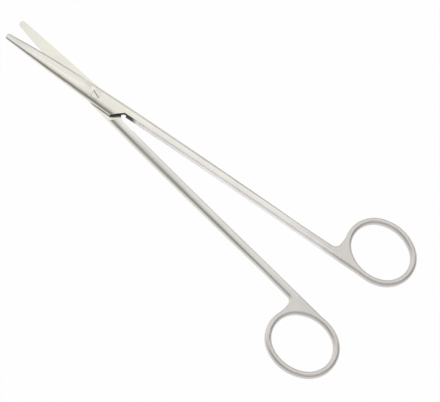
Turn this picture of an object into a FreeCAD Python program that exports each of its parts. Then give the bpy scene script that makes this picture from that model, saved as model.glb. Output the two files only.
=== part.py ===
import FreeCAD, Part
import math
import os
import Sketcher

# Dissecting scissors, lying flat, in millimetres.
# The origin is where the screw's axis meets the surface that the scissors lie on,
# +X runs towards the tips, +Y towards the near blade, +Z up.
# Each half is drawn in a frame of its own: x to its tip, y to the back of its blade,
# z away from the lap, where the two halves meet.

SIZES = {
    # Reach of a half, from the screw's axis
    "blade_length": 54.0,
    "ring_back": 156.8,
    "ring_rise": 1.75,
    "ring_turn": 9.7,
    "rest_opening": 11.7,
    # Lap joint
    "plate_thickness": 2.4,
    "lap_clearance": 0.04,
    "box_front": 4.0,
    "box_rear": 19.0,
    "shoulder_back": 17.8,
    "shoulder_angle": 41.2,
    "near_crotch": 16.8,
    "under_crotch": 18.2,
    "heel_angle": 42.6,
    "relief_depth": 0.3,
    "relief_length": 7.5,
    "relief_angle": 20.0,
    # Outline of the box and the blade, each side of the line from screw to tip
    "box_back": 4.38,
    "box_edge": 4.36,
    "box_outer": 4.5,
    "tip_back": 1.15,
    "tip_edge": 1.9,
    "back_bulge": 0.2,
    "edge_bulge": 0.6,
    # Section of the blade
    "tip_thickness": 1.25,
    "edge_thickness": 0.45,
    "bevel_width": 0.5,
    "bevel_height": 0.4,
    # Soft shoulders of the forging, drawn as a small arc that runs into a flatter one
    "soft_width": 3.1,
    "soft_depth": 1.7,
    "soft_radius": 1.2,
    # Shank
    "shank_middle": 68.0,
    "shank_outer": 4.15,
    "shank_inner": 0.35,
    "box_inner": 0.1,
    "inner_round": 0.5,
    "yoke_start": 118.0,
    "yoke_outer": 3.25,
    "yoke_inner": 1.25,
    # Finger ring
    "ring_hole_length": 30.3,
    "ring_hole_width": 25.7,
    "ring_wire": 3.2,
    "ring_height": 3.9,
    "edge_round": 1.5,
    "yoke_round": 3.0,
    "wall_blend": 15.0,
    "yoke_blend": 30.0,
    # Screw
    "head_diameter": 4.5,
    "head_height": 1.1,
    "neck_diameter": 3.0,
    "thread_diameter": 2.5,
    "slot_width": 0.5,
    "slot_depth": 0.45,
    "slot_turn": -17.4,
    "running_clearance": 0.03,
    "screw_chamfer": 0.15,
}

HALF_TURN = 180.0
# Share of the difference between the half-axes that makes an oval's four arcs meet smoothly
OVAL_SHARE = (math.sqrt(3) - 1) / 2

doc = FreeCAD.newDocument("dissecting_scissors")
sheet = doc.addObject("Spreadsheet::Sheet", "Sizes")
for row, (alias, size) in enumerate(SIZES.items(), start=1):
    sheet.set(f"A{row}", alias)
    sheet.set(f"B{row}", str(size))
    sheet.setAlias(f"B{row}", alias)
doc.recompute()


def number(formula):
    """Value of a formula written with the sheet's aliases."""
    return float(sheet.evalExpression(str(formula)))


def plane(body, role):
    """One of the body's own origin planes."""
    return next(item for item in body.Origin.OriginFeatures if item.Role == role)


def new_sketch(body, name, role, offset="0"):
    """Sketch on an origin plane of the body, moved along its normal."""
    sketch = body.newObject("Sketcher::SketchObject", name)
    sketch.AttachmentSupport = [(plane(body, role), "")]
    sketch.MapMode = "FlatFace"
    sketch.setExpression(".AttachmentOffset.Base.z", str(offset))
    return sketch


def bind(sketch, constraint, formula):
    """Add a dimension and tie it to a formula."""
    index = sketch.addConstraint(constraint)
    sketch.setExpression(f"Constraints[{index}]", str(formula))


def pin(sketch, edge, point, across=None, up=None):
    """Hold a point of an edge at formulas for its two coordinates."""
    if across is not None:
        bind(sketch, Sketcher.Constraint("DistanceX", -1, 1, edge, point, number(across)), across)
    if up is not None:
        bind(sketch, Sketcher.Constraint("DistanceY", -1, 1, edge, point, number(up)), up)


def polygon(sketch, points):
    """Closed outline of straight edges through points given as formulas."""
    places = [FreeCAD.Vector(number(across), number(up), 0) for across, up in points]
    count = len(points)
    for index in range(count):
        sketch.addGeometry(Part.LineSegment(places[index], places[(index + 1) % count]))
    for index in range(count):
        sketch.addConstraint(Sketcher.Constraint("Coincident", index, 2, (index + 1) % count, 1))
    for index, (across, up) in enumerate(points):
        pin(sketch, index, 1, across, up)


def oval(sketch, length, width):
    """Oval of four arcs about the sketch's origin, its long axis along x."""
    end_radius = f"({width} / 2 - ({length} - {width}) / 2 * {OVAL_SHARE})"
    shift = f"({length} / 2 - {end_radius})"
    side_radius = (
        f"(({shift} ^ 2 + ({width} / 2) ^ 2 - {end_radius} ^ 2)"
        f" / ({width} - 2 * {end_radius}))"
    )
    small = number(end_radius)
    large = number(side_radius)
    reach = number(shift)
    join = math.atan2(large - number(width) / 2, reach)
    centres = [(reach, 0), (0, number(width) / 2 - large), (-reach, 0), (0, large - number(width) / 2)]
    arcs = []
    for index, (across, up) in enumerate(centres):
        radius = large if index % 2 else small
        half = math.pi / 2 - join if index % 2 else join
        middle = index * math.pi / 2
        disc = Part.Circle(FreeCAD.Vector(across, up, 0), FreeCAD.Vector(0, 0, 1), radius)
        arcs.append(sketch.addGeometry(Part.ArcOfCircle(disc, middle - half, middle + half)))
    for index, arc in enumerate(arcs):
        following = arcs[(index + 1) % len(arcs)]
        sketch.addConstraint(Sketcher.Constraint("Tangent", arc, 2, following, 1))
    for index, arc in enumerate(arcs):
        radius = side_radius if index % 2 else end_radius
        bind(sketch, Sketcher.Constraint("Radius", arc, number(radius)), radius)
    pin(sketch, arcs[0], 3, shift, "0")
    pin(sketch, arcs[2], 3, f"(-{shift})", "0")


def ring_sketch(body, name):
    """Sketch about the ring's centre, its x along the ring's long axis."""
    sketch = new_sketch(body, name, "XY_Plane")
    turn = FreeCAD.Rotation(FreeCAD.Vector(0, 0, 1), number("-Sizes.ring_turn"))
    place = FreeCAD.Vector(-number("Sizes.ring_back"), -number(RING_SIDE), 0)
    sketch.AttachmentOffset = FreeCAD.Placement(place, turn)
    sketch.setExpression(".AttachmentOffset.Base.x", "-Sizes.ring_back")
    sketch.setExpression(".AttachmentOffset.Base.y", f"-{RING_SIDE}")
    sketch.setExpression(".AttachmentOffset.Rotation.Angle", "-Sizes.ring_turn")
    return sketch


def circle(sketch, radius):
    """Circle about the sketch's origin."""
    disc = Part.Circle(FreeCAD.Vector(0, 0, 0), FreeCAD.Vector(0, 0, 1), number(radius))
    curve = sketch.addGeometry(disc)
    sketch.addConstraint(Sketcher.Constraint("Coincident", curve, 3, -1, 1))
    bind(sketch, Sketcher.Constraint("Radius", curve, number(radius)), radius)


# Formulas for the outline of box and blade at a distance in front of the screw

def along(start, end, bulge, station):
    """Side that runs from its width at the screw to its width at the tip, slightly bowed."""
    part = f"(({station}) / Sizes.blade_length)"
    return (
        f"(Sizes.{start} + (Sizes.{end} - Sizes.{start}) * {part}"
        f" + 4 * Sizes.{bulge} * {part} * (1 - {part}))"
    )


def back_side(station):
    """Distance of the blade's back from the line to the tip."""
    return along("box_back", "tip_back", "back_bulge", station)


def edge_side(station):
    """Distance of the cutting edge from the line to the tip."""
    return along("box_edge", "tip_edge", "edge_bulge", station)


def crest(station):
    """Height of the blade's thickest line above the lap."""
    fall = f"((({station}) / Sizes.blade_length) ^ 1.5)"
    return f"(Sizes.plate_thickness - (Sizes.plate_thickness - Sizes.tip_thickness) * {fall})"


LAP = "(Sizes.lap_clearance / 2)"
EDGE_ROUND = "min(Sizes.edge_round; 0.48 * Sizes.ring_wire)"
RING_LENGTH = "(Sizes.ring_hole_length + 2 * Sizes.ring_wire)"
RING_WIDTH = "(Sizes.ring_hole_width + 2 * Sizes.ring_wire)"
RING_SIDE = f"({RING_WIDTH} / 2 - Sizes.ring_rise)"
RING_FRONT = f"(-Sizes.ring_back + {RING_LENGTH} / 2)"
# Ends of the yoke's inner side and of its wall, both just inside the ring's rim
INNER_END = (f"(-Sizes.ring_back + {RING_LENGTH} * 0.045)", "(Sizes.ring_rise * 0.91)")
WALL_END = (f"({RING_FRONT} - Sizes.ring_wire * 0.4)", f"(-{RING_SIDE})")


class Soft:
    """Corner of a section where a small arc at the wall runs into a flatter one on top."""

    def __init__(self, across, up, width, depth, radius):
        self.across = across
        self.up = up
        self.width = width
        self.depth = depth
        self.radius = radius
        self.crown = (
            f"({radius} + (({width} - {radius}) ^ 2 + ({depth} - {radius}) ^ 2)"
            f" / (2 * ({depth} - {radius})))"
        )


class Halved:
    """Corner of a section rounded by two arcs of one circle."""

    def __init__(self, across, up, radius):
        self.across = across
        self.up = up
        self.radius = radius


class Round:
    """Corner of a section rounded by one arc."""

    def __init__(self, across, up, radius):
        self.across = across
        self.up = up
        self.radius = radius


class Outline:
    """Closed section drawn anticlockwise, edge after edge."""

    def __init__(self, sketch):
        self.sketch = sketch
        self.chain = []

    def arc(self, centre_across, centre_up, radius, first, last):
        """Arc between two angles in degrees."""
        disc = Part.Circle(
            FreeCAD.Vector(centre_across, centre_up, 0), FreeCAD.Vector(0, 0, 1), radius
        )
        curve = Part.ArcOfCircle(disc, math.radians(first), math.radians(last))
        self.chain.append(("arc", self.sketch.addGeometry(curve)))
        return self.chain[-1][1]

    def line(self):
        """Keep a place for a straight edge, drawn when its ends are known."""
        self.chain.append(("line", None))

    def corner(self, kind, right, top):
        """Draw a corner of the section in its quadrant and tie its sizes."""
        side = 1 if right else -1
        rise = 1 if top else -1
        start = {(1, 1): 0, (-1, 1): 90, (-1, -1): 180, (1, -1): 270}[(side, rise)]
        wall_first = side == rise
        across = number(kind.across)
        up = number(kind.up)
        radius = number(kind.radius)
        sketch = self.sketch
        if isinstance(kind, Round):
            curve = self.arc(across - side * radius, up - rise * radius, radius, start, start + 90)
            bind(sketch, Sketcher.Constraint("Radius", curve, radius), kind.radius)
            return
        if isinstance(kind, Halved):
            centre = (across - side * radius, up - rise * radius)
            first = self.arc(*centre, radius, start, start + 45)
            self.chain.append(("halved", None))
            second = self.arc(*centre, radius, start + 45, start + 90)
            bind(sketch, Sketcher.Constraint("Radius", first, radius), kind.radius)
            sketch.addConstraint(Sketcher.Constraint("Coincident", first, 3, second, 3))
            bind_at = f"{kind.across} - {side} * {kind.radius} * (1 - cos(45))"
            pin(sketch, first, 2, across=bind_at)
            return
        crown_radius = number(kind.crown)
        width = number(kind.width)
        depth = number(kind.depth)
        join = math.degrees(math.acos((width - radius) / (crown_radius - radius)))
        small_centre = (across - side * radius, up - rise * depth)
        crown_centre = (across - side * width, up - rise * crown_radius)
        if wall_first:
            small = self.arc(*small_centre, radius, start, start + join)
            crown = self.arc(*crown_centre, crown_radius, start + join, start + 90)
        else:
            crown = self.arc(*crown_centre, crown_radius, start, start + 90 - join)
            small = self.arc(*small_centre, radius, start + 90 - join, start + 90)
        bind(sketch, Sketcher.Constraint("Radius", small, radius), kind.radius)
        bind(sketch, Sketcher.Constraint("Radius", crown, crown_radius), kind.crown)
        pin(sketch, small, 3, up=f"{kind.up} - {rise} * {kind.depth}")


def section_sketch(body, name, station):
    """Empty sketch square to the length of the half, at a station in front of the screw."""
    return new_sketch(body, name, "YZ_Plane", station)


def ends_of(sketch, index):
    """Start and end of an edge of the sketch."""
    curve = sketch.Geometry[index]
    return curve.StartPoint, curve.EndPoint


def close_outline(outline, walls, flats):
    """Draw the straight edges between the corners and join everything up.

    walls and flats give the formula of each upright and level edge in drawing order.
    """
    sketch = outline.sketch
    chain = [item for item in outline.chain if item[0] != "halved"]
    count = len(chain)
    indices = []
    for place, (kind, index) in enumerate(chain):
        if kind == "line":
            before = ends_of(sketch, chain[place - 1][1])[1]
            after = ends_of(sketch, chain[(place + 1) % count][1])[0]
            index = sketch.addGeometry(Part.LineSegment(before, after))
        indices.append((kind, index))
    walls = list(walls)
    flats = list(flats)
    upright = True
    for kind, index in indices:
        if kind != "line":
            continue
        if upright:
            sketch.addConstraint(Sketcher.Constraint("Vertical", index))
            pin(sketch, index, 1, across=walls.pop(0))
        else:
            sketch.addConstraint(Sketcher.Constraint("Horizontal", index))
            pin(sketch, index, 1, up=flats.pop(0))
        upright = not upright
    halves = halved_pairs(outline)
    for place in range(count):
        index = indices[place][1]
        following = indices[(place + 1) % count][1]
        joint = "Coincident" if (index, following) in halves else "Tangent"
        sketch.addConstraint(Sketcher.Constraint(joint, index, 2, following, 1))


def halved_pairs(outline):
    """Pairs of arcs that share one circle."""
    pairs = set()
    for place, (kind, _) in enumerate(outline.chain):
        if kind == "halved":
            pairs.add((outline.chain[place - 1][1], outline.chain[place + 1][1]))
    return pairs


def full_section(body, name, station, right, left, height, right_corner, left_corner):
    """Section of the whole bar, the same above and below the lap."""
    sketch = section_sketch(body, name, station)
    outline = Outline(sketch)
    outline.line()
    outline.corner(right_corner(right, height), True, True)
    outline.line()
    outline.corner(left_corner(f"(-{left})", height), False, True)
    outline.line()
    outline.corner(left_corner(f"(-{left})", f"(-{height})"), False, False)
    outline.line()
    outline.corner(right_corner(right, f"(-{height})"), True, False)
    close_outline(outline, [right, f"(-{left})"], [height, f"(-{height})"])
    return sketch


def soft_corner(width, depth, radius):
    """Corner maker for a soft shoulder of these sizes."""
    return lambda across, up: Soft(across, up, width, depth, radius)


def half_section(body, name, station, back, edge, height, soft, bevel):
    """Section of the blade: flat on the lap, soft at the back, bevelled or soft at the edge."""
    sketch = section_sketch(body, name, station)
    outline = Outline(sketch)
    back_number = number(back)
    edge_number = number(edge)
    lap = number(LAP)
    height_number = number(height)
    crown_radius = number(soft(back, height).crown)
    width = number(soft(back, height).width)
    depth = number(soft(back, height).depth)
    radius = number(soft(back, height).radius)
    crown_centre = FreeCAD.Vector(back_number - width, height_number - crown_radius, 0)
    small_centre = FreeCAD.Vector(back_number - radius, height_number - depth, 0)
    join = math.degrees(math.acos((width - radius) / (crown_radius - radius)))
    foot = FreeCAD.Vector(back_number, lap, 0)
    corner = FreeCAD.Vector(-edge_number, lap, 0)
    wall_top = FreeCAD.Vector(back_number, small_centre.y, 0)
    bottom = sketch.addGeometry(Part.LineSegment(corner, foot))
    wall = sketch.addGeometry(Part.LineSegment(foot, wall_top))
    small = outline.arc(small_centre.x, small_centre.y, radius, 0, join)
    if bevel is None:
        other = soft(f"(-{edge})", height)
        crown = outline.arc(crown_centre.x, crown_centre.y, crown_radius, join, 90)
        crest_start = FreeCAD.Vector(crown_centre.x, height_number, 0)
        crest_end = FreeCAD.Vector(-edge_number + width, height_number, 0)
        top = sketch.addGeometry(Part.LineSegment(crest_start, crest_end))
        far_crown = outline.arc(crest_end.x, crown_centre.y, crown_radius, 90, 180 - join)
        far_small = outline.arc(-edge_number + radius, small_centre.y, radius, 180 - join, 180)
        face = sketch.addGeometry(
            Part.LineSegment(FreeCAD.Vector(-edge_number, small_centre.y, 0), corner)
        )
        sketch.addConstraint(Sketcher.Constraint("Horizontal", top))
        pin(sketch, top, 1, up=height)
        bind(sketch, Sketcher.Constraint("Radius", far_crown, crown_radius), other.crown)
        bind(sketch, Sketcher.Constraint("Radius", far_small, radius), other.radius)
        pin(sketch, far_small, 3, up=f"{height} - {other.depth}")
        smooth = [(small, crown), (crown, top), (top, far_crown), (far_crown, far_small)]
        smooth.append((far_small, face))
        sharp = []
    else:
        bevel_across = f"(-{edge} + Sizes.bevel_width)"
        bevel_up = f"({bevel} + Sizes.bevel_height)"
        bevel_top = FreeCAD.Vector(number(bevel_across), number(bevel_up), 0)
        reach = crown_centre - bevel_top
        lean = math.atan2(reach.y, reach.x) + math.asin(crown_radius / reach.Length)
        length = math.sqrt(reach.Length ** 2 - crown_radius ** 2)
        touch = bevel_top + FreeCAD.Vector(math.cos(lean), math.sin(lean), 0) * length
        spoke = touch - crown_centre
        last = math.degrees(math.atan2(spoke.y, spoke.x))
        crown = outline.arc(crown_centre.x, crown_centre.y, crown_radius, join, last)
        split_across = f"({bevel_across} + ({back} - {bevel_across}) * 0.25)"
        share = (number(split_across) - bevel_top.x) / (touch.x - bevel_top.x)
        split = bevel_top + (touch - bevel_top) * share
        top = sketch.addGeometry(Part.LineSegment(touch, split))
        slope = sketch.addGeometry(Part.LineSegment(split, bevel_top))
        edge_top = FreeCAD.Vector(-edge_number, number(bevel), 0)
        chamfer = sketch.addGeometry(Part.LineSegment(bevel_top, edge_top))
        face = sketch.addGeometry(Part.LineSegment(edge_top, corner))
        pin(sketch, crown, 3, up=f"{height} - {soft(back, height).crown}")
        pin(sketch, slope, 1, across=split_across)
        pin(sketch, slope, 2, bevel_across, bevel_up)
        pin(sketch, chamfer, 2, up=bevel)
        sketch.addConstraint(Sketcher.Constraint("Parallel", top, slope))
        smooth = [(small, crown), (crown, top)]
        sharp = [(top, slope), (slope, chamfer), (chamfer, face)]
    bind(sketch, Sketcher.Constraint("Radius", small, radius), soft(back, height).radius)
    bind(sketch, Sketcher.Constraint("Radius", crown, crown_radius), soft(back, height).crown)
    pin(sketch, small, 3, up=f"{height} - {soft(back, height).depth}")
    pin(sketch, bottom, 1, f"(-{edge})", LAP)
    pin(sketch, bottom, 2, back, LAP)
    sketch.addConstraint(Sketcher.Constraint("Vertical", wall))
    sketch.addConstraint(Sketcher.Constraint("Vertical", face))
    smooth.append((wall, small))
    sharp.extend([(bottom, wall), (face, bottom)])
    for first, second in smooth:
        sketch.addConstraint(Sketcher.Constraint("Tangent", first, 2, second, 1))
    for first, second in sharp:
        sketch.addConstraint(Sketcher.Constraint("Coincident", first, 2, second, 1))
    return sketch


def loft(body, name, sections, ruled=False):
    """Solid through sections in order."""
    feature = body.newObject("PartDesign::AdditiveLoft", name)
    feature.Profile = sections[0]
    feature.Sections = sections[1:]
    feature.Ruled = ruled
    feature.Refine = False
    doc.recompute()
    return feature


def pad(body, name, sketch, height):
    """Pad to both sides of the sketch."""
    feature = body.newObject("PartDesign::Pad", name)
    feature.Profile = sketch
    feature.SideType = "Symmetric"
    feature.setExpression("Length", str(height))
    doc.recompute()
    return feature


def pocket(body, name, sketch, depth, both=False, reverse=False):
    """Cut a sketch into the body and make sure that it took metal away."""
    before = body.Shape.Volume
    feature = body.newObject("PartDesign::Pocket", name)
    feature.Profile = sketch
    if both:
        feature.SideType = "Symmetric"
    feature.Reversed = reverse
    feature.setExpression("Length", str(depth))
    doc.recompute()
    if not body.Shape.Volume < before:
        raise RuntimeError(f"{name} cuts nothing")
    return feature


def fillet(body, name, base, edges, radius):
    """Round edges of the body, found by their place."""
    feature = body.newObject("PartDesign::Fillet", name)
    feature.Base = (base, edges)
    feature.setExpression("Radius", str(radius))
    doc.recompute()
    return feature


def upright_edge(shape, across, up):
    """Name of the upright edge nearest to a place in plan."""
    best = None
    for index, edge in enumerate(shape.Edges, start=1):
        box = edge.BoundBox
        if box.ZLength < 1 or box.XLength > 0.01 or box.YLength > 0.01:
            continue
        gap = math.hypot(box.Center.x - across, box.Center.y - up)
        if best is None or gap < best[0]:
            best = (gap, f"Edge{index}")
    return best[1]


def rim_edges(shape, height, end):
    """Names of the edges around the top and bottom faces, apart from those on the end face."""
    names = []
    for index, edge in enumerate(shape.Edges, start=1):
        box = edge.BoundBox
        level = abs(abs(box.Center.z) - height) < 0.001 and box.ZLength < 0.001
        at_end = abs(box.XMin - end) < 0.001 and abs(box.XMax - end) < 0.001
        if level and not at_end:
            names.append(f"Edge{index}")
    return names


def yoke_outline(body):
    """Outline of the stretch between shank and ring, with a wall that runs into the ring's end."""
    sketch = new_sketch(body, "yoke_outline", "XY_Plane")
    polygon(
        sketch,
        [
            ("-Sizes.yoke_start", "Sizes.yoke_inner"),
            INNER_END,
            WALL_END,
            (RING_FRONT, "-Sizes.yoke_outer"),
            ("-Sizes.yoke_start", "-Sizes.yoke_outer"),
        ],
    )
    return sketch


def add_ring(body):
    """Finger ring with the yoke that joins it to the shank, all edges rounded."""
    ring = ring_sketch(body, "ring_outline")
    oval(ring, RING_LENGTH, RING_WIDTH)
    pad(body, "ring_blank", ring, "Sizes.ring_height")
    base = pad(body, "yoke_blank", yoke_outline(body), "Sizes.ring_height")
    front = number(RING_FRONT)
    wall = upright_edge(base.Shape, front, -number(f"({RING_SIDE} + Sizes.yoke_outer) / 2"))
    base = fillet(body, "yoke_wall", base, [wall], "Sizes.wall_blend")
    corner = upright_edge(base.Shape, front, -number("Sizes.yoke_outer"))
    base = fillet(body, "yoke_corner", base, [corner], "Sizes.yoke_round")
    run = upright_edge(base.Shape, number(INNER_END[0]), number(INNER_END[1]))
    base = fillet(body, "yoke_run", base, [run], "Sizes.yoke_blend")
    hole = ring_sketch(body, "ring_hole_outline")
    oval(hole, "Sizes.ring_hole_length", "Sizes.ring_hole_width")
    base = pocket(body, "ring_hole", hole, "Sizes.ring_height * 2", both=True)
    height = number("Sizes.ring_height / 2")
    end = -number("Sizes.yoke_start")
    edges = rim_edges(base.Shape, height, end)
    fillet(body, "ring_round", base, edges, EDGE_ROUND)


def add_shank(body):
    """Shank from the yoke to the box, round outside and flat inside."""
    half_ring = "(Sizes.ring_height / 2)"
    halfway = f"((Sizes.plate_thickness + {half_ring}) / 2)"
    share = f"({halfway} / Sizes.plate_thickness)"
    yoke = full_section(
        body, "shank_at_yoke", "-Sizes.yoke_start", "Sizes.yoke_inner", "Sizes.yoke_outer",
        half_ring,
        lambda across, up: Round(across, up, EDGE_ROUND),
        lambda across, up: Halved(across, up, EDGE_ROUND),
    )
    middle = full_section(
        body, "shank_at_middle", "-Sizes.shank_middle", "Sizes.shank_inner", "Sizes.shank_outer",
        halfway,
        lambda across, up: Round(across, up, "(Sizes.inner_round * 1.6)"),
        soft_corner(
            "(Sizes.soft_width * 0.85)", f"(Sizes.soft_depth * {share})",
            f"(Sizes.soft_radius * {share})",
        ),
    )
    box = full_section(
        body, "shank_at_box", "-Sizes.box_rear", "Sizes.box_inner", "Sizes.box_outer",
        "Sizes.plate_thickness",
        lambda across, up: Round(across, up, "Sizes.inner_round"),
        soft_corner("Sizes.soft_width", "Sizes.soft_depth", "Sizes.soft_radius"),
    )
    loft(body, "shank", [yoke, middle, box])


def add_box(body):
    """Full thickness of the box, before the lap is cut."""
    soft = soft_corner("Sizes.soft_width", "Sizes.soft_depth", "Sizes.soft_radius")
    rear = full_section(
        body, "box_at_rear", "-Sizes.box_rear", back_side("-Sizes.box_rear"), "Sizes.box_outer",
        "Sizes.plate_thickness", soft, soft,
    )
    front = full_section(
        body, "box_at_front", "Sizes.box_front", back_side("Sizes.box_front"),
        edge_side("Sizes.box_front"), "Sizes.plate_thickness", soft, soft,
    )
    loft(body, "box", [rear, front], ruled=True)


def add_blade(body):
    """Blade from the box to past its tip, thinner and narrower all the way."""
    soft_box = soft_corner("Sizes.soft_width", "Sizes.soft_depth", "Sizes.soft_radius")
    start = "Sizes.box_front"
    sections = [
        half_section(
            body, "blade_at_box", start, back_side(start), edge_side(start),
            "Sizes.plate_thickness", soft_box, None,
        )
    ]
    for count, share in enumerate((0.28, 0.52, 0.78, 1.02), start=1):
        station = f"(Sizes.blade_length * {share})"
        narrow = f"({back_side(station)} / Sizes.box_back)"
        thin = f"({crest(station)} / Sizes.plate_thickness)"
        soft = soft_corner(
            f"(Sizes.soft_width * {narrow})", f"(Sizes.soft_depth * {thin} * {narrow} ^ 0.5)",
            f"(Sizes.soft_radius * {thin} * {narrow} ^ 0.8)",
        )
        sections.append(
            half_section(
                body, f"blade_section_{count}", station, back_side(station), edge_side(station),
                crest(station), soft, "Sizes.edge_thickness",
            )
        )
    loft(body, "blade", sections)


def cut_nose(body):
    """Round the blunt tip in plan."""
    station = "(Sizes.blade_length * 0.97)"
    radius = f"(({back_side(station)} + {edge_side(station)}) * 0.515)"
    middle = f"(({back_side(station)} - {edge_side(station)}) / 2)"
    far = "(Sizes.blade_length * 1.1)"
    wide = "Sizes.box_back"
    sketch = new_sketch(body, "nose_outline", "XY_Plane")
    across = number(station)
    centre = FreeCAD.Vector(across, number(middle), 0)
    reach = number(radius)
    low = FreeCAD.Vector(across, centre.y - reach, 0)
    high = FreeCAD.Vector(across, centre.y + reach, 0)
    points = [
        low,
        FreeCAD.Vector(across, -number(wide), 0),
        FreeCAD.Vector(number(far), -number(wide), 0),
        FreeCAD.Vector(number(far), number(wide), 0),
        FreeCAD.Vector(across, number(wide), 0),
        high,
    ]
    for first, second in zip(points, points[1:]):
        sketch.addGeometry(Part.LineSegment(first, second))
    last = len(points) - 1
    disc = Part.Circle(centre, FreeCAD.Vector(0, 0, 1), reach)
    arc = sketch.addGeometry(Part.ArcOfCircle(disc, -math.pi / 2, math.pi / 2))
    for index in range(last - 1):
        sketch.addConstraint(Sketcher.Constraint("Coincident", index, 2, index + 1, 1))
    sketch.addConstraint(Sketcher.Constraint("Coincident", arc, 1, 0, 1))
    sketch.addConstraint(Sketcher.Constraint("Coincident", arc, 2, last - 1, 2))
    pin(sketch, arc, 3, station, middle)
    bind(sketch, Sketcher.Constraint("Radius", arc, reach), radius)
    sketch.addConstraint(Sketcher.Constraint("Vertical", 0))
    sketch.addConstraint(Sketcher.Constraint("Vertical", last - 1))
    pin(sketch, arc, 1, across=station)
    pin(sketch, arc, 2, across=station)
    pin(sketch, 1, 1, up=f"(-{wide})")
    pin(sketch, 2, 1, far, f"(-{wide})")
    pin(sketch, 3, 1, far, wide)
    pin(sketch, 4, 1, up=wide)
    pocket(body, "nose", sketch, "Sizes.plate_thickness * 4", both=True)


def cut_lap(body):
    """Mill away what lies under the lap in front of the shoulder."""
    lap = new_sketch(body, "lap_outline", "XY_Plane", LAP)
    wide = "(Sizes.box_back * 2)"
    lean = "tan(Sizes.shoulder_angle)"
    front = "(Sizes.blade_length * 1.2)"
    polygon(
        lap,
        [
            (f"(-Sizes.shoulder_back + {wide} * {lean})", f"(-{wide})"),
            (front, f"(-{wide})"),
            (front, wide),
            (f"(-Sizes.shoulder_back - {wide} * {lean})", wide),
        ],
    )
    pocket(body, "lap", lap, "Sizes.plate_thickness * 2")


def cut_heel(body, crotch):
    """Mill the heel of the box and the short flat behind the crotch."""
    heel = new_sketch(body, "heel_outline", "XY_Plane")
    wide = "(Sizes.box_back * 2)"
    lean = f"({wide} / tan(Sizes.heel_angle))"
    side = "(Sizes.box_inner - Sizes.relief_depth)"
    run_out = f"({crotch} + Sizes.relief_length)"
    fade = f"({wide} / tan(Sizes.relief_angle))"
    polygon(
        heel,
        [
            (f"(-{crotch})", side),
            (f"(-{crotch} + {lean})", f"({side} + {wide})"),
            (f"(-{run_out} - {fade})", f"({side} + {wide})"),
            (f"(-{run_out})", side),
        ],
    )
    pocket(body, "heel", heel, "Sizes.plate_thickness * 4", both=True)


def drill(body, name, diameter, depth):
    """Round hole on the screw's axis, from the face away from the lap."""
    sketch = new_sketch(body, f"{name}_outline", "XY_Plane", "Sizes.plate_thickness")
    circle(sketch, f"({diameter} / 2)")
    pocket(body, name, sketch, depth)


def build_half(label, crotch):
    """One half of the scissors, without its hole for the screw."""
    body = doc.addObject("PartDesign::Body", label)
    body.Label = label
    doc.recompute()
    add_ring(body)
    add_shank(body)
    add_box(body)
    add_blade(body)
    cut_nose(body)
    cut_lap(body)
    cut_heel(body, crotch)
    return body


def build_near_half():
    """Half that shows on top, with the running bore and the seat for the screw's head."""
    body = build_half("near_half", "Sizes.near_crotch")
    drill(
        body, "screw_bore", "(Sizes.neck_diameter + 2 * Sizes.running_clearance)",
        "Sizes.plate_thickness * 2",
    )
    drill(
        body, "head_seat", "(Sizes.head_diameter + 2 * Sizes.running_clearance)",
        "(Sizes.head_height + Sizes.running_clearance)",
    )
    lift = FreeCAD.Vector(0, 0, number("Sizes.plate_thickness"))
    turn = FreeCAD.Rotation(FreeCAD.Vector(0, 0, 1), number("Sizes.rest_opening / 2"))
    body.Placement = FreeCAD.Placement(lift, turn)
    return body


def build_under_half():
    """Half that lies underneath, turned over, with the hole that the screw is fixed in."""
    body = build_half("under_half", "Sizes.under_crotch")
    drill(
        body, "screw_hole", "(Sizes.thread_diameter + 2 * Sizes.running_clearance)",
        "Sizes.plate_thickness * 2",
    )
    lift = FreeCAD.Vector(0, 0, number("Sizes.plate_thickness"))
    over = FreeCAD.Rotation(FreeCAD.Vector(1, 0, 0), HALF_TURN)
    turn = FreeCAD.Rotation(FreeCAD.Vector(0, 0, 1), number("-Sizes.rest_opening / 2"))
    body.Placement = FreeCAD.Placement(lift, turn.multiply(over))
    return body


def build_screw():
    """Slotted screw, its head flush with the near half and its end with the under half."""
    body = doc.addObject("PartDesign::Body", "pivot_screw")
    body.Label = "pivot_screw"
    doc.recompute()
    profile = new_sketch(body, "screw_profile", "XZ_Plane")
    top = "Sizes.plate_thickness"
    under_head = "(Sizes.plate_thickness - Sizes.head_height)"
    head = "(Sizes.head_diameter / 2)"
    neck = "(Sizes.neck_diameter / 2)"
    thread = "(Sizes.thread_diameter / 2)"
    polygon(
        profile,
        [
            ("0", f"(-{top})"),
            (f"({thread} - Sizes.screw_chamfer)", f"(-{top})"),
            (thread, f"(-{top} + Sizes.screw_chamfer)"),
            (thread, LAP),
            (neck, LAP),
            (neck, under_head),
            (head, under_head),
            (head, f"({top} - Sizes.screw_chamfer / 2)"),
            (f"({head} - Sizes.screw_chamfer / 2)", top),
            ("0", top),
        ],
    )
    turned = body.newObject("PartDesign::Revolution", "screw_blank")
    turned.Profile = profile
    turned.ReferenceAxis = (profile, ["V_Axis"])
    turned.Angle = 360
    doc.recompute()
    slot = new_sketch(body, "slot_outline", "XY_Plane", top)
    half = "(Sizes.slot_width / 2)"
    reach = "Sizes.head_diameter"
    polygon(
        slot,
        [
            (f"(-{reach})", f"(-{half})"),
            (reach, f"(-{half})"),
            (reach, half),
            (f"(-{reach})", half),
        ],
    )
    pocket(body, "slot", slot, "Sizes.slot_depth")
    lift = FreeCAD.Vector(0, 0, number("Sizes.plate_thickness"))
    turn = FreeCAD.Rotation(FreeCAD.Vector(0, 0, 1), number("Sizes.slot_turn"))
    body.Placement = FreeCAD.Placement(lift, turn)
    return body


def check_document():
    """Stop if any object of the document has failed."""
    for item in doc.Objects:
        if "Invalid" in item.State or "Error" in item.State:
            raise RuntimeError(f"{item.Label} failed: {item.State}")


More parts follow.
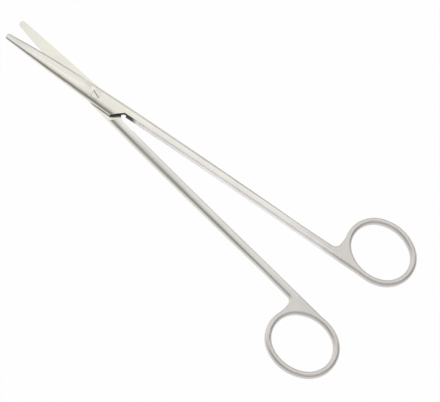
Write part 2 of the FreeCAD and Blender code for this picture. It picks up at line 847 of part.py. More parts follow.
def write_step(body):
    """Check one sub-part and write it to its file."""
    shape = body.Shape
    if shape.isNull() or not shape.isValid() or len(shape.Solids) != 1:
        raise RuntimeError(f"{body.Label} is not one valid solid")
    shape.exportStep(f"parts/{body.Label}.step")
    box = shape.BoundBox
    print(f"{body.Label}: volume {shape.Volume:.1f}, {box.XLength:.1f} x {box.YLength:.1f}")


pieces = [build_near_half(), build_under_half(), build_screw()]
doc.recompute()
check_document()
os.makedirs("parts", exist_ok=True)
for piece in pieces:
    write_step(piece)
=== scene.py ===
"""Studio scene for a pair of dissecting scissors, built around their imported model."""

from __future__ import annotations

import logging
import math
from dataclasses import dataclass, field
from enum import Enum
from typing import Any

import bmesh
import bpy
from mathutils import Matrix, Quaternion, Vector


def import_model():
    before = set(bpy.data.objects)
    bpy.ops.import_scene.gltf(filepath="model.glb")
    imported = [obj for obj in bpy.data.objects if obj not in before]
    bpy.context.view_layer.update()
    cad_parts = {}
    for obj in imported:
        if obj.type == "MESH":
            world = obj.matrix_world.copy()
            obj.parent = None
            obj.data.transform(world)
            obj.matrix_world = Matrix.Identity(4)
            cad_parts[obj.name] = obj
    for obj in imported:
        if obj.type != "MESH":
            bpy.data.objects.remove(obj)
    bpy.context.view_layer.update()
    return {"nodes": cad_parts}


LOG = logging.getLogger("dissecting_scissors")
MM = 0.001
TOTAL_HEIGHT = 4.8 * MM
BLADE_LENGTH = 54.0 * MM
WHITE = (1.0, 1.0, 1.0, 1.0)


class Grain(Enum):
    """Ways in which the grinding marks of a steel surface can run."""

    LENGTHWISE = "lengthwise"
    EVEN = "even"


class NodeGraph:
    """Small helper that adds nodes to a shader tree and links them."""

    def __init__(self, tree: bpy.types.NodeTree) -> None:
        """Empty the tree and keep it.

        Args:
            tree: The tree of a material or a world.
        """
        self.tree = tree
        tree.nodes.clear()

    def add(
        self, kind: str, settings: dict[str, Any] | None = None, **inputs: Any
    ) -> bpy.types.Node:
        """Add a node, set its options and feed its inputs.

        Args:
            kind: The node's type, such as ShaderNodeTexNoise.
            settings: Options of the node itself, such as its operation.
            **inputs: Values or sockets for its inputs, with _ in place of a blank.

        Returns:
            The new node.
        """
        node = self.tree.nodes.new(kind)
        for name, value in (settings or {}).items():
            setattr(node, name, value)
        for name, value in inputs.items():
            self.feed(self.socket(node, name), value)
        return node

    def socket(self, node: bpy.types.Node, name: str) -> bpy.types.NodeSocket:
        """Find an input by name, or by number where it is written as in0, in1 and so on.

        Args:
            node: The node.
            name: Name of the input, with _ in place of a blank.

        Returns:
            The input.
        """
        if name.startswith("in") and name[2:].isdigit():
            return node.inputs[int(name[2:])]
        return node.inputs[name.replace("_", " ")]

    def feed(self, socket: bpy.types.NodeSocket, value: Any) -> None:
        """Link a socket to the input, or set its value.

        Args:
            socket: The input to feed.
            value: A socket to link, or a plain value.
        """
        if isinstance(value, bpy.types.NodeSocket):
            self.tree.links.new(value, socket)
        else:
            socket.default_value = value

    def math(
        self, operation: str, first: Any, second: Any = 0.0, third: Any = 0.0
    ) -> bpy.types.NodeSocket:
        """Add a Math node.

        Args:
            operation: The operation's name.
            first: First value or socket.
            second: Second value or socket.
            third: Third value or socket.

        Returns:
            The result's socket.
        """
        node = self.add(
            "ShaderNodeMath", {"operation": operation}, in0=first, in1=second, in2=third
        )
        return node.outputs[0]

    def product(self, first: Any, *others: Any) -> bpy.types.NodeSocket:
        """Multiply numbers with each other.

        Args:
            first: First socket.
            *others: The other sockets.

        Returns:
            The product's socket.
        """
        for other in others:
            first = self.math("MULTIPLY", first, other)
        return first

    def within(self, value: Any, middle: float, reach: float) -> bpy.types.NodeSocket:
        """Find what lies near a value.

        Args:
            value: Socket with the value that is looked at.
            middle: The value that it should have.
            reach: How far off it may be.

        Returns:
            Socket that is 1 within reach of the middle and 0 elsewhere.
        """
        off = self.math("ABSOLUTE", self.math("SUBTRACT", value, middle))
        return self.math("LESS_THAN", off, reach)

    def bowed(self, along: Any, line: tuple[float, float, float]) -> bpy.types.NodeSocket:
        """Follow a slightly bowed line.

        Args:
            along: Socket with the distance along the line.
            line: The line's distance aside at its start, its slope and its bow.

        Returns:
            Socket with the line's distance aside.
        """
        at_start, slope, bow = line
        curve = self.math("MULTIPLY_ADD", self.math("MULTIPLY", along, along), bow, at_start)
        return self.math("ADD", curve, self.math("MULTIPLY", along, slope))

    def ramp(
        self, value: Any, low: float, high: float, start: float, end: float
    ) -> bpy.types.NodeSocket:
        """Map a value smoothly from one range to another.

        Args:
            value: The value's socket.
            low: Where the ramp starts.
            high: Where the ramp ends.
            start: Result at low.
            end: Result at high.

        Returns:
            The result's socket.
        """
        node = self.add(
            "ShaderNodeMapRange",
            {"interpolation_type": "SMOOTHSTEP"},
            Value=value,
            From_Min=low,
            From_Max=high,
            To_Min=start,
            To_Max=end,
        )
        return node.outputs["Result"]

    def dot(self, value: Any, way: Vector) -> bpy.types.NodeSocket:
        """Compare a direction with a fixed one.

        Args:
            value: Socket with the direction.
            way: The fixed direction.

        Returns:
            Socket with their dot product.
        """
        node = self.add(
            "ShaderNodeVectorMath", {"operation": "DOT_PRODUCT"}, in0=value, in1=tuple(way)
        )
        return node.outputs["Value"]

    def seen_directly(self) -> bpy.types.NodeSocket:
        """Tell the rays that show the surroundings from those that only light the object.

        Returns:
            Socket that is 1 for camera, glossy and transmission rays.
        """
        path = self.add("ShaderNodeLightPath")
        seen = self.math("MAXIMUM", path.outputs["Is Camera Ray"], path.outputs["Is Glossy Ray"])
        return self.math("MAXIMUM", seen, path.outputs["Is Transmission Ray"])

    def tint(self, colour: Any, tone: Any) -> bpy.types.NodeSocket:
        """Make a colour darker or lighter.

        Args:
            colour: The colour.
            tone: Factor for all its channels.

        Returns:
            The new colour's socket.
        """
        node = self.add("ShaderNodeVectorMath", {"operation": "SCALE"}, in0=colour, Scale=tone)
        return node.outputs["Vector"]

    def blend(self, share: Any, first: Any, second: Any) -> bpy.types.NodeSocket:
        """Mix two colours.

        Args:
            share: Share of the second colour.
            first: First colour.
            second: Second colour.

        Returns:
            The mixed colour's socket.
        """
        node = self.add("ShaderNodeMix", {"data_type": "RGBA"}, in0=share, in6=first, in7=second)
        return node.outputs[2]

    def between(self, share: Any, first: Any, second: Any) -> bpy.types.NodeSocket:
        """Mix two numbers.

        Args:
            share: Share of the second number.
            first: First number.
            second: Second number.

        Returns:
            The mixed number's socket.
        """
        node = self.add("ShaderNodeMix", {"data_type": "FLOAT"}, in0=share, in2=first, in3=second)
        return node.outputs[0]


@dataclass(frozen=True)
class Metal:
    """Look of one kind of steel surface.

    Attributes:
        colour: Colour of its reflections.
        roughness: Its roughness.
    """

    colour: tuple[float, float, float]
    roughness: float


Layer = tuple[Metal, bpy.types.NodeSocket]
# Near-black steel that is painted shade: laid on the milled faces at the crotch between the halves
# and inside the screw's slot.
PAINTED_SHADE_STEEL = Metal((0.048, 0.042, 0.034), 0.5)


@dataclass(frozen=True)
class OwnPlace:
    """Place on a piece, in the frame that the piece is drawn in.

    Attributes:
        along: Socket with the distance in front of the screw, towards the piece's tip.
        across: Socket with the distance beside the screw, towards the back of the blade.
        height: Socket with the height above the table, as if a flipped piece lay the other way.
    """

    along: bpy.types.NodeSocket
    across: bpy.types.NodeSocket
    height: bpy.types.NodeSocket


@dataclass(frozen=True)
class ShadedMilledFace:
    """Upright milled face at the crotch, painted near-black as shade, seen in plan as a line.

    Attributes:
        along: Where the line starts along the half, in metres.
        across: Where it starts across the half, in metres.
        angle: Direction in which it runs, in degrees from the tip.
        length: Its length in metres.
        end_share: Share of the painted shade left at its end.
        thickness: Distance from the line within which a surface belongs to it, in metres.
    """

    along: float
    across: float
    angle: float
    length: float
    end_share: float
    thickness: float = 0.03 * MM

    def share(self, graph: NodeGraph, own: OwnPlace) -> bpy.types.NodeSocket:
        """Find the face.

        Args:
            graph: The material's graph.
            own: Place on the half.

        Returns:
            Socket that is 1 where the face starts and 0 off it.
        """
        turn = math.radians(self.angle)
        step = graph.math("SUBTRACT", own.along, self.along)
        aside = graph.math("SUBTRACT", own.across, self.across)
        reach = graph.math(
            "ADD",
            graph.math("MULTIPLY", step, math.cos(turn)),
            graph.math("MULTIPLY", aside, math.sin(turn)),
        )
        off = graph.math(
            "SUBTRACT",
            graph.math("MULTIPLY", aside, math.cos(turn)),
            graph.math("MULTIPLY", step, math.sin(turn)),
        )
        middle = self.length / 2
        fade = graph.ramp(reach, middle, self.length, 1.0, self.end_share)
        on_plane = graph.within(off, 0.0, self.thickness)
        return graph.product(on_plane, graph.within(reach, middle, middle), fade)


@dataclass(frozen=True)
class ShadedSlot:
    """Driver slot, with painted shade inside that is darkest at one end.

    Attributes:
        low: Lowest level that belongs to it, in metres.
        high: Highest level that belongs to it, in metres.
        fade: Where the painted shade starts to fade and where it is lightest, in metres.
        end_share: Share of the painted shade left at its lighter end.
    """

    low: float
    high: float
    fade: tuple[float, float]
    end_share: float

    def share(self, graph: NodeGraph, own: OwnPlace) -> bpy.types.NodeSocket:
        """Find the inside of the slot.

        Args:
            graph: The material's graph.
            own: Place on the screw.

        Returns:
            Socket that is 1 at its dark end and 0 outside it.
        """
        inside = graph.within(own.height, (self.low + self.high) / 2, (self.high - self.low) / 2)
        return graph.product(inside, graph.ramp(own.across, *self.fade, 1.0, self.end_share))


@dataclass(frozen=True)
class HalfZones:
    """Zones of a half whose steel looks different, each laid over those before it. Some of them
    are painted light or painted shade.

    All places are in metres in the half's own frame. A pair of places gives the two ends of
    a fade. A line is given by its distance from the middle line at the screw, its slope and
    its bow.

    Attributes:
        shank: Metal of the shank.
        inner: Metal of the flank that faces the other half; on the near half it is painted light.
        crotch: Distance of the crotch behind the screw.
        shank_reach: Where the shank's metal is complete and where it ends along the half.
        ring: Metal of the yoke and the finger ring.
        ring_reach: Where the ring's metal is complete and where it ends along the half.
        inner_start: Where the inner flank starts along the half.
        inner_end: Where the inner flank ends and where it is still complete along the half.
        inner_reach: Where the inner flank starts and is complete across the half.
        wall_shade_tone: Tone of the upright wall of the inner flank near the box.
        wall_line: Line of that wall.
        wall_reach: Where its tone starts and is complete, from its line.
        wall_end: Where its tone ends and where it is complete along the half.
        face: Metal of the blade's face between its crest and its cutting edge, painted lighter
            than the box as painted light.
        face_start: Where that face starts and is complete along the half.
        face_reach: Where it starts and is complete across the half, on the side of the edge.
        face_end: Where it is still complete and where it ends, on the side of the crest.
        tip: Metal of the blade's tip.
        tip_reach: Where the tip's metal starts and is complete along the half.
        bevel: Darker metal of the bevel along the cutting edge, painted shade of the line where
            the blades cross.
        bevel_start: Where the bevel starts and is complete along the half.
        bevel_reach: Where the bevel is still complete and where it ends, from the edge.
        edge_line: Line of the cutting edge.
        flat: Metal of the ground lap face.
        flat_level: Height of the lap face.
        flat_reach: Distance from that height within which a surface belongs to it.
    """

    shank: Metal
    inner: Metal
    crotch: float
    shank_reach: tuple[float, float] = (-42.0 * MM, -14.0 * MM)
    ring: Metal = Metal((0.688, 0.658, 0.63), 0.39)
    ring_reach: tuple[float, float] = (-140.0 * MM, -94.0 * MM)
    inner_start: float = -24.6 * MM
    inner_end: tuple[float, float] = (-146.0 * MM, -126.0 * MM)
    inner_reach: tuple[float, float] = (-1.1 * MM, -0.1 * MM)
    # Painted shade: the inner flank's upright wall near the box is darkened to this tone.
    wall_shade_tone: float = 0.93
    wall_line: tuple[float, float, float] = (0.177 * MM, 0.00639, 0.000131 / MM)
    wall_reach: tuple[float, float] = (-0.2 * MM, -0.05 * MM)
    wall_end: tuple[float, float] = (-90.0 * MM, -35.0 * MM)
    face: Metal = Metal((0.87, 0.845, 0.785), 0.2)
    face_start: tuple[float, float] = (3.0 * MM, 12.0 * MM)
    face_reach: tuple[float, float] = (-3.6 * MM, -2.2 * MM)
    face_end: tuple[float, float] = (-0.6 * MM, 1.0 * MM)
    tip: Metal = Metal((0.80, 0.79, 0.745), 0.2)
    tip_reach: tuple[float, float] = (36.0 * MM, 50.0 * MM)
    bevel: Metal = Metal((0.6, 0.585, 0.54), 0.3)
    bevel_start: tuple[float, float] = (9.0 * MM, 17.0 * MM)
    bevel_reach: tuple[float, float] = (0.56 * MM, 1.2 * MM)
    edge_line: tuple[float, float, float] = (
        4.36 * MM,
        -0.06 * MM / BLADE_LENGTH,
        -2.4 * MM / BLADE_LENGTH**2,
    )
    flat: Metal = Metal((0.80, 0.775, 0.70), 0.24)
    flat_level: float = 2.42 * MM
    flat_reach: float = 0.04 * MM

    def layers(self, graph: NodeGraph, own: OwnPlace) -> list[Layer]:
        """List the zones in the order in which they are laid.

        Args:
            graph: The material's graph.
            own: Place on the half.

        Returns:
            Each zone's metal, with a socket that is 1 on the zone and 0 elsewhere.
        """
        layers = [
            (self.shank, graph.ramp(own.along, *self.shank_reach, 1.0, 0.0)),
            (self.ring, graph.ramp(own.along, *self.ring_reach, 1.0, 0.0)),
            # Blade face: painted light, lighter than the box.
            (self.face, self.face_share(graph, own)),
            (self.tip, graph.ramp(own.along, *self.tip_reach, 0.0, 1.0)),
            # Inner flank: painted light on the near half.
            (self.inner, self.inner_share(graph, own)),
            # Cutting edge bevel: painted shade where the blades cross.
            (self.bevel, self.bevel_shade_share(graph, own)),
            (self.flat, graph.within(own.height, self.flat_level, self.flat_reach)),
        ]
        # Painted shade on the milled faces at the crotch, darkest at the crotch.
        layers += [(PAINTED_SHADE_STEEL, face.share(graph, own)) for face in self.shaded_milled_faces()]
        return layers

    def shaded_milled_faces(self) -> tuple[ShadedMilledFace, ShadedMilledFace]:
        """Place the milled faces on both sides of the crotch, which carry painted shade.

        Returns:
            The heel and the short flat behind it.
        """
        side = -0.2 * MM
        heel = ShadedMilledFace(-self.crotch, side, angle=42.6, length=7.5 * MM, end_share=1.0)
        relief = ShadedMilledFace(-self.crotch, side, angle=180.0, length=7.7 * MM, end_share=0.15)
        return heel, relief

    def face_share(self, graph: NodeGraph, own: OwnPlace) -> bpy.types.NodeSocket:
        """Find the blade's face between its crest and its cutting edge.

        Args:
            graph: The material's graph.
            own: Place on the half.

        Returns:
            Socket that is 1 on the face and 0 elsewhere.
        """
        return graph.product(
            graph.ramp(own.along, *self.face_start, 0.0, 1.0),
            graph.ramp(own.across, *self.face_reach, 0.0, 1.0),
            graph.ramp(own.across, *self.face_end, 1.0, 0.0),
        )

    def inner_share(self, graph: NodeGraph, own: OwnPlace) -> bpy.types.NodeSocket:
        """Find the flank of the shank that faces the other half.

        Args:
            graph: The material's graph.
            own: Place on the half.

        Returns:
            Socket that is 1 on the flank and 0 elsewhere.
        """
        return graph.product(
            graph.math("LESS_THAN", own.along, self.inner_start),
            graph.ramp(own.along, *self.inner_end, 0.0, 1.0),
            graph.ramp(own.across, *self.inner_reach, 0.0, 1.0),
        )

    def painted_wall_shade(self, graph: NodeGraph, own: OwnPlace) -> bpy.types.NodeSocket:
        """Find the painted shade on the inner flank's upright wall.

        Args:
            graph: The material's graph.
            own: Place on the half.

        Returns:
            Socket that is the wall's tone on it and 1 elsewhere.
        """
        off = graph.math("SUBTRACT", own.across, graph.bowed(own.along, self.wall_line))
        share = graph.product(
            graph.math("LESS_THAN", own.along, self.inner_start),
            graph.ramp(own.along, *self.wall_end, 0.0, 1.0),
            graph.ramp(off, *self.wall_reach, 0.0, 1.0),
        )
        return graph.between(share, 1.0, self.wall_shade_tone)

    def bevel_shade_share(self, graph: NodeGraph, own: OwnPlace) -> bpy.types.NodeSocket:
        """Find the bevel along the slightly bowed cutting edge, which carries painted shade.

        Args:
            graph: The material's graph.
            own: Place on the half.

        Returns:
            Socket that is 1 on the bevel and 0 elsewhere.
        """
        inside = graph.math("ADD", own.across, graph.bowed(own.along, self.edge_line))
        return graph.product(
            graph.ramp(inside, *self.bevel_reach, 1.0, 0.0),
            graph.ramp(own.along, *self.bevel_start, 0.0, 1.0),
        )


@dataclass(frozen=True)
class SteelFinish:
    """Finish of a piece of ground stainless steel.

    Attributes:
        name: Name of the material.
        body: Metal of the whole piece, under its zones.
        grain: Way in which the grinding marks run.
        turn: Turn of the piece's length from +X, in degrees.
        grain_width: Spacing of the marks across their run, in metres.
        grain_length: Length of the marks, in metres.
        grain_depth: Depth of the marks, in metres.
        flipped: True where the piece lies with its own upper side down.
        zones: Zones of a half, or None where the piece is alike all over.
        slot: The driver slot, or None where there is none.
        mark_strength: Share of the marks' depth that shows.
        mark_roughness: Change of roughness from the lowest to the highest mark.
        cloud_scale: Number of clouds in a metre.
        cloud_reach: Values of the cloud noise between which the tone changes.
        cloud_tone: Tone of the darkest and the lightest cloud.
    """

    name: str
    body: Metal
    grain: Grain
    turn: float
    grain_width: float = 0.12 * MM
    grain_length: float = 3.0 * MM
    grain_depth: float = 0.002 * MM
    flipped: bool = False
    zones: HalfZones | None = None
    slot: ShadedSlot | None = None
    mark_strength: float = 0.5
    mark_roughness: float = 0.08
    cloud_scale: float = 90.0
    cloud_reach: tuple[float, float] = (0.35, 0.65)
    cloud_tone: tuple[float, float] = (0.95, 1.0)

    def build(self) -> bpy.types.Material:
        """Make the material.

        Returns:
            The finished material.
        """
        material = bpy.data.materials.new(self.name)
        material.use_nodes = True
        graph = NodeGraph(material.node_tree)
        place = graph.add("ShaderNodeTexCoord").outputs["Object"]
        turned = graph.add(
            "ShaderNodeMapping",
            {"vector_type": "TEXTURE"},
            Vector=place,
            Rotation=(0.0, 0.0, math.radians(self.turn)),
        ).outputs["Vector"]
        own = self.own_place(graph, turned)
        marks = self.marks(graph, turned)
        tone = self.clouds(graph, place)
        layers: list[Layer] = []
        if self.zones is not None:
            layers += self.zones.layers(graph, own)
            # Painted shade on the inner flank's upright wall.
            tone = graph.product(tone, self.zones.painted_wall_shade(graph, own))
        if self.slot is not None:
            # Painted shade inside the driver slot.
            layers.append((PAINTED_SHADE_STEEL, self.slot.share(graph, own)))
        colour: Any = (*self.body.colour, 1.0)
        rough: Any = self.body.roughness
        for metal, share in layers:
            colour = graph.blend(share, colour, (*metal.colour, 1.0))
            rough = graph.between(share, rough, metal.roughness)
        uneven = graph.math("MULTIPLY", graph.math("SUBTRACT", marks, 0.5), self.mark_roughness)
        bump = graph.add(
            "ShaderNodeBump", Height=marks, Distance=self.grain_depth, Strength=self.mark_strength
        )
        shader = graph.add(
            "ShaderNodeBsdfPrincipled",
            Base_Color=graph.tint(colour, tone),
            Metallic=1.0,
            Roughness=graph.math("ADD", rough, uneven),
            Normal=bump.outputs["Normal"],
        )
        graph.add("ShaderNodeOutputMaterial", Surface=shader.outputs["BSDF"])
        return material

    def own_place(self, graph: NodeGraph, turned: bpy.types.NodeSocket) -> OwnPlace:
        """Find the place in the frame that the piece is drawn in.

        Args:
            graph: The material's graph.
            turned: Socket with the place turned to the piece's length.

        Returns:
            The place along, across and above the piece.
        """
        parts = graph.add("ShaderNodeSeparateXYZ", Vector=turned).outputs
        if not self.flipped:
            return OwnPlace(parts["X"], parts["Y"], parts["Z"])
        across = graph.math("MULTIPLY", parts["Y"], -1.0)
        return OwnPlace(parts["X"], across, graph.math("SUBTRACT", TOTAL_HEIGHT, parts["Z"]))

    def marks(self, graph: NodeGraph, turned: bpy.types.NodeSocket) -> bpy.types.NodeSocket:
        """Lay the grinding marks over the surface.

        Args:
            graph: The material's graph.
            turned: Socket with the place turned to the piece's length.

        Returns:
            Socket with the height of the marks, from 0 to 1.
        """
        fine = 1.0 / self.grain_width
        along = 1.0 / self.grain_length if self.grain is Grain.LENGTHWISE else fine
        stretched = graph.add(
            "ShaderNodeVectorMath", {"operation": "MULTIPLY"}, in0=turned, in1=(along, fine, fine)
        )
        noise = graph.add(
            "ShaderNodeTexNoise",
            Vector=stretched.outputs["Vector"],
            Scale=1.0,
            Detail=4.0,
            Roughness=0.65,
        )
        return noise.outputs["Fac"]

    def clouds(self, graph: NodeGraph, place: bpy.types.NodeSocket) -> bpy.types.NodeSocket:
        """Lay faint clouds over the steel, as handling and polishing leave them.

        Args:
            graph: The material's graph.
            place: Socket with the place on the object.

        Returns:
            Socket with the tone of the clouds.
        """
        noise = graph.add(
            "ShaderNodeTexNoise", Vector=place, Scale=self.cloud_scale, Detail=3.0, Roughness=0.6
        )
        return graph.ramp(noise.outputs["Fac"], *self.cloud_reach, *self.cloud_tone)


@dataclass
class SteelPiece:
    """Steel piece of the scissors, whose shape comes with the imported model.

    Attributes:
        node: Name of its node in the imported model.
        turn: Turn of its length from +X, in degrees.
    """

    node: str
    turn: float

    def finish(self) -> SteelFinish:
        """Describe the piece's steel, which each kind of piece does for itself."""
        raise NotImplementedError

    def dress(self, nodes: dict[str, bpy.types.Object]) -> bpy.types.Object:
        """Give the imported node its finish.

        Args:
            nodes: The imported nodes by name.

        Returns:
            The dressed node.
        """
        piece = nodes[self.node]
        material = self.finish().build()
        for slot in piece.material_slots:
            slot.material = material
        return piece


@dataclass
class ScissorHalf(SteelPiece):
    """One forged half: blade, box, shank and finger ring in one piece.

    Attributes:
        crotch: Distance of the crotch behind the screw, in metres.
        shank: Metal of the shank.
        inner: Metal of the flank that faces the other half; on the near half it is painted light.
        body: Metal of the box, and of the rest under its zones.
        flipped: True where the half lies with its own upper side down.
    """

    crotch: float
    shank: Metal
    inner: Metal
    body: Metal = Metal((0.79, 0.765, 0.695), 0.19)
    flipped: bool = False

    def finish(self) -> SteelFinish:
        """Describe the half's steel, ground lengthwise.

        Returns:
            The finish.
        """
        return SteelFinish(
            f"{self.node}_steel",
            self.body,
            Grain.LENGTHWISE,
            self.turn,
            flipped=self.flipped,
            zones=HalfZones(self.shank, self.inner, self.crotch),
        )


@dataclass
class PivotScrew(SteelPiece):
    """Slotted screw on which the halves turn.

    Attributes:
        slot: Its driver slot.
        body: Metal of the screw.
        grain_width: Spacing of its marks, in metres.
        grain_depth: Depth of its marks, in metres.
    """

    slot: ShadedSlot = ShadedSlot(low=4.3 * MM, high=4.7 * MM, fade=(-1.54 * MM, 0.44 * MM), end_share=0.35)
    body: Metal = Metal((0.78, 0.755, 0.69), 0.25)
    grain_width: float = 0.1 * MM
    grain_depth: float = 0.004 * MM

    def finish(self) -> SteelFinish:
        """Describe the screw's steel, with painted shade in its slot.

        Returns:
            The finish.
        """
        return SteelFinish(
            f"{self.node}_steel",
            self.body,
            Grain.EVEN,
            self.turn,
            grain_width=self.grain_width,
            grain_depth=self.grain_depth,
            slot=self.slot,
        )


@dataclass
class PhotoCamera:
    """Camera at the photograph's viewing angle.

    Attributes:
        aim: Point that the camera looks at, in metres.
        azimuth: Direction of the camera from the aim, in degrees from +X.
        elevation: Height of the camera over the aim, in degrees.
        roll: Turn of the picture about the line of sight, in degrees.
        distance: Distance from the aim, in metres.
        focal_length: Focal length in millimetres.
        sensor_width: Width of the sensor in millimetres.
        clip_end: Distance up to which things are seen, in metres.
    """

    aim: tuple[float, float, float] = (-0.080116, 0.001332, 0.0024)
    azimuth: float = 115.262
    elevation: float = 68.358
    roll: float = 15.605
    distance: float = 0.86377
    focal_length: float = 147.27
    sensor_width: float = 36.0
    clip_end: float = 20.0

    def place(self) -> bpy.types.Object:
        """Put the camera in the scene and make it the scene's camera.

        Returns:
            The camera.
        """
        lens = bpy.data.cameras.new("photo_camera")
        lens.sensor_fit = "HORIZONTAL"
        lens.sensor_width = self.sensor_width
        lens.lens = self.focal_length
        lens.clip_end = self.clip_end
        camera = bpy.data.objects.new("photo_camera", lens)
        bpy.context.scene.collection.objects.link(camera)
        away = direction(self.azimuth, self.elevation)
        turn = (-away).to_track_quat("-Z", "Y") @ Quaternion((0, 0, 1), math.radians(self.roll))
        place = Vector(self.aim) + away * self.distance
        camera.matrix_world = Matrix.LocRotScale(place, turn, None)
        bpy.context.scene.camera = camera
        return camera


@dataclass(frozen=True)
class TentPatch:
    """Soft patch of the light tent that is darker or brighter than the cloth around it.

    Attributes:
        azimuth: Direction of its middle, in degrees from +X.
        elevation: Height of its middle, in degrees.
        inner: Angle from the middle within which it is strongest, in degrees.
        outer: Angle from the middle at which it ends, in degrees.
        factor: Its light as a share of the light around it.
    """

    azimuth: float
    elevation: float
    inner: float
    outer: float
    factor: float


def direction(azimuth: float, elevation: float) -> Vector:
    """Unit vector towards a direction.

    Args:
        azimuth: Angle from +X, in degrees.
        elevation: Angle above the table, in degrees.

    Returns:
        The unit vector.
    """
    around = math.radians(azimuth)
    up = math.radians(elevation)
    return Vector((math.cos(up) * math.cos(around), math.cos(up) * math.sin(around), math.sin(up)))


@dataclass
class Studio:
    """White table under a light tent, with a soft lamp on the far side.

    Attributes:
        middle: Middle of the object on the table, in metres.
        floor_size: Half the width of the table, in metres.
        tent_radius: Radius of the tent, in metres.
        bright_side: Azimuth and elevation of the tent's bright side, in degrees.
        bright_reach: Cosines of the angle to that side between which the light changes.
        tent_light: Strength of the tent on its dim and on its bright side.
        tent_segments: Number of faces around and from top to bottom of the tent.
        patches: Darker and brighter patches of the tent.
        lamp_power: Power of the lamp in watts.
        lamp_size: Width of the lamp in metres.
        lamp_direction: Azimuth and elevation of the lamp, in degrees.
        lamp_distance: Distance of the lamp from the middle, in metres.
        paper: Brightness of the table's surface.
        glow_share: Share of plain white in the table as it is seen.
        world_light: Strength of the surroundings where they aren't seen directly.
        pieces: Objects of the studio.
    """

    middle: tuple[float, float] = (-0.08, 0.0)
    floor_size: float = 3.0
    tent_radius: float = 2.5
    bright_side: tuple[float, float] = (305.0, 46.0)
    bright_reach: tuple[float, float] = (-0.1, 0.8)
    tent_light: tuple[float, float] = (0.62, 0.86)
    tent_segments: tuple[int, int] = (48, 24)
    patches: tuple[TentPatch, ...] = (
        TentPatch(66.0, 54.0, 4.0, 26.0, 0.37),
        TentPatch(98.0, 18.0, 4.0, 20.0, 1.5),
        TentPatch(100.0, 30.0, 10.0, 75.0, 0.9),
        TentPatch(214.0, 38.0, 8.0, 32.0, 0.28),
        TentPatch(280.0, -2.0, 12.0, 32.0, 0.55),
        TentPatch(282.0, 38.0, 8.0, 24.0, 1.14),
        TentPatch(12.0, 30.0, 8.0, 30.0, 1.6),
    )
    lamp_power: float = 0.8
    lamp_size: float = 1.2
    lamp_direction: tuple[float, float] = (285.0, 62.0)
    lamp_distance: float = 1.5
    paper: float = 0.93
    glow_share: float = 0.975
    world_light: float = 0.6
    pieces: list[bpy.types.Object] = field(default_factory=list)

    def build(self) -> None:
        """Build the table, the tent, the lamp and the world."""
        self.build_floor()
        self.build_tent()
        self.build_lamp()
        self.build_world()

    def add_piece(
        self, name: str, form: bmesh.types.BMesh, material: bpy.types.Material
    ) -> bpy.types.Object:
        """Turn a bmesh into an object of the studio.

        Args:
            name: Name of the object.
            form: Its form, freed here.
            material: Its material.

        Returns:
            The new object.
        """
        mesh = bpy.data.meshes.new(name)
        form.to_mesh(mesh)
        form.free()
        mesh.materials.append(material)
        piece = bpy.data.objects.new(name, mesh)
        bpy.context.scene.collection.objects.link(piece)
        self.pieces.append(piece)
        return piece

    def build_floor(self) -> None:
        """White table top, which keeps a faint shadow of the object."""
        material = bpy.data.materials.new("white_table")
        material.use_nodes = True
        graph = NodeGraph(material.node_tree)
        paper = graph.add("ShaderNodeBsdfDiffuse", Color=(self.paper, self.paper, self.paper, 1.0))
        glow = graph.add("ShaderNodeEmission", Color=WHITE, Strength=1.0)
        share = graph.math("MULTIPLY", graph.seen_directly(), self.glow_share)
        mixed = graph.add(
            "ShaderNodeMixShader", in0=share, in1=paper.outputs[0], in2=glow.outputs[0]
        )
        graph.add("ShaderNodeOutputMaterial", Surface=mixed.outputs[0])
        form = bmesh.new()
        bmesh.ops.create_grid(form, x_segments=1, y_segments=1, size=self.floor_size)
        self.add_piece("table_top", form, material)

    def build_tent(self) -> None:
        """Light tent around the table, dimmer where the viewer stands."""
        material = bpy.data.materials.new("tent_cloth")
        material.use_nodes = True
        graph = NodeGraph(material.node_tree)
        place = graph.add("ShaderNodeTexCoord").outputs["Object"]
        centred = graph.add(
            "ShaderNodeVectorMath", {"operation": "SUBTRACT"}, in0=place, in1=(*self.middle, 0.0)
        ).outputs["Vector"]
        toward = graph.add(
            "ShaderNodeVectorMath", {"operation": "NORMALIZE"}, in0=centred
        ).outputs["Vector"]
        facing = graph.dot(toward, direction(*self.bright_side))
        light = graph.ramp(facing, *self.bright_reach, *self.tent_light)
        for patch in self.patches:
            near = graph.dot(toward, direction(patch.azimuth, patch.elevation))
            low = math.cos(math.radians(patch.outer))
            high = math.cos(math.radians(patch.inner))
            light = graph.product(light, graph.ramp(near, low, high, 1.0, patch.factor))
        glow = graph.add("ShaderNodeEmission", Color=WHITE, Strength=light)
        graph.add("ShaderNodeOutputMaterial", Surface=glow.outputs[0])
        form = bmesh.new()
        around, down = self.tent_segments
        bmesh.ops.create_uvsphere(
            form, u_segments=around, v_segments=down, radius=self.tent_radius
        )
        bmesh.ops.translate(form, verts=form.verts, vec=(*self.middle, 0.0))
        bmesh.ops.reverse_faces(form, faces=form.faces)
        tent = self.add_piece("light_tent", form, material)
        tent.visible_camera = False
        tent.visible_shadow = False

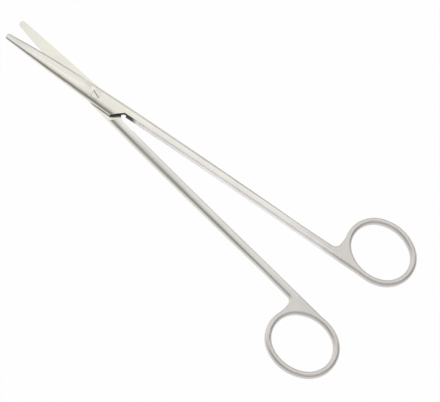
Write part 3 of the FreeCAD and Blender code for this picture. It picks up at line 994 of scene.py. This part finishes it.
    def build_lamp(self) -> None:
        """Large soft lamp above the far side."""
        lamp = bpy.data.lights.new("soft_lamp", "AREA")
        lamp.shape = "DISK"
        lamp.size = self.lamp_size
        lamp.energy = self.lamp_power
        piece = bpy.data.objects.new("soft_lamp", lamp)
        bpy.context.scene.collection.objects.link(piece)
        away = direction(*self.lamp_direction)
        place = Vector((*self.middle, 0.0)) + away * self.lamp_distance
        piece.matrix_world = Matrix.LocRotScale(place, (-away).to_track_quat("-Z", "Y"), None)

    def build_world(self) -> None:
        """White surroundings."""
        world = bpy.data.worlds.new("white_room")
        bpy.context.scene.world = world
        world.use_nodes = True
        graph = NodeGraph(world.node_tree)
        strength = graph.math(
            "MULTIPLY_ADD", graph.seen_directly(), 1.0 - self.world_light, self.world_light
        )
        back = graph.add("ShaderNodeBackground", Color=WHITE, Strength=strength)
        graph.add("ShaderNodeOutputWorld", Surface=back.outputs[0])


def sub_assemblies() -> tuple[SteelPiece, ...]:
    """List the pieces of the scissors.

    Returns:
        The two halves and the screw.
    """
    near_half = ScissorHalf(
        "near_half",
        turn=5.85,
        crotch=16.8 * MM,
        shank=Metal((0.775, 0.75, 0.705), 0.24),
        # Painted light: the near half's inner flank is much lighter than its other steel.
        inner=Metal((0.97, 0.948, 0.935), 0.6),
    )
    under_half = ScissorHalf(
        "under_half",
        turn=-5.85,
        crotch=18.2 * MM,
        # Painted shade: the under half's shank is darker than the near half's, on the same steel.
        shank=Metal((0.74, 0.715, 0.67), 0.31),
        inner=Metal((0.78, 0.755, 0.72), 0.4),
        flipped=True,
    )
    return near_half, under_half, PivotScrew("pivot_screw", turn=-17.4)


def main() -> None:
    """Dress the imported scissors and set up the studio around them."""
    logging.basicConfig(level=logging.INFO, format="%(message)s")
    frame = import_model()
    nodes = frame["nodes"]
    bpy.context.scene.view_settings.view_transform = "Standard"
    PhotoCamera().place()
    for part in sub_assemblies():
        piece = part.dress(nodes)
        LOG.info("dressed %s", piece.name)
    Studio().build()
    bpy.context.view_layer.update()


if __name__ == "__main__":
    main()
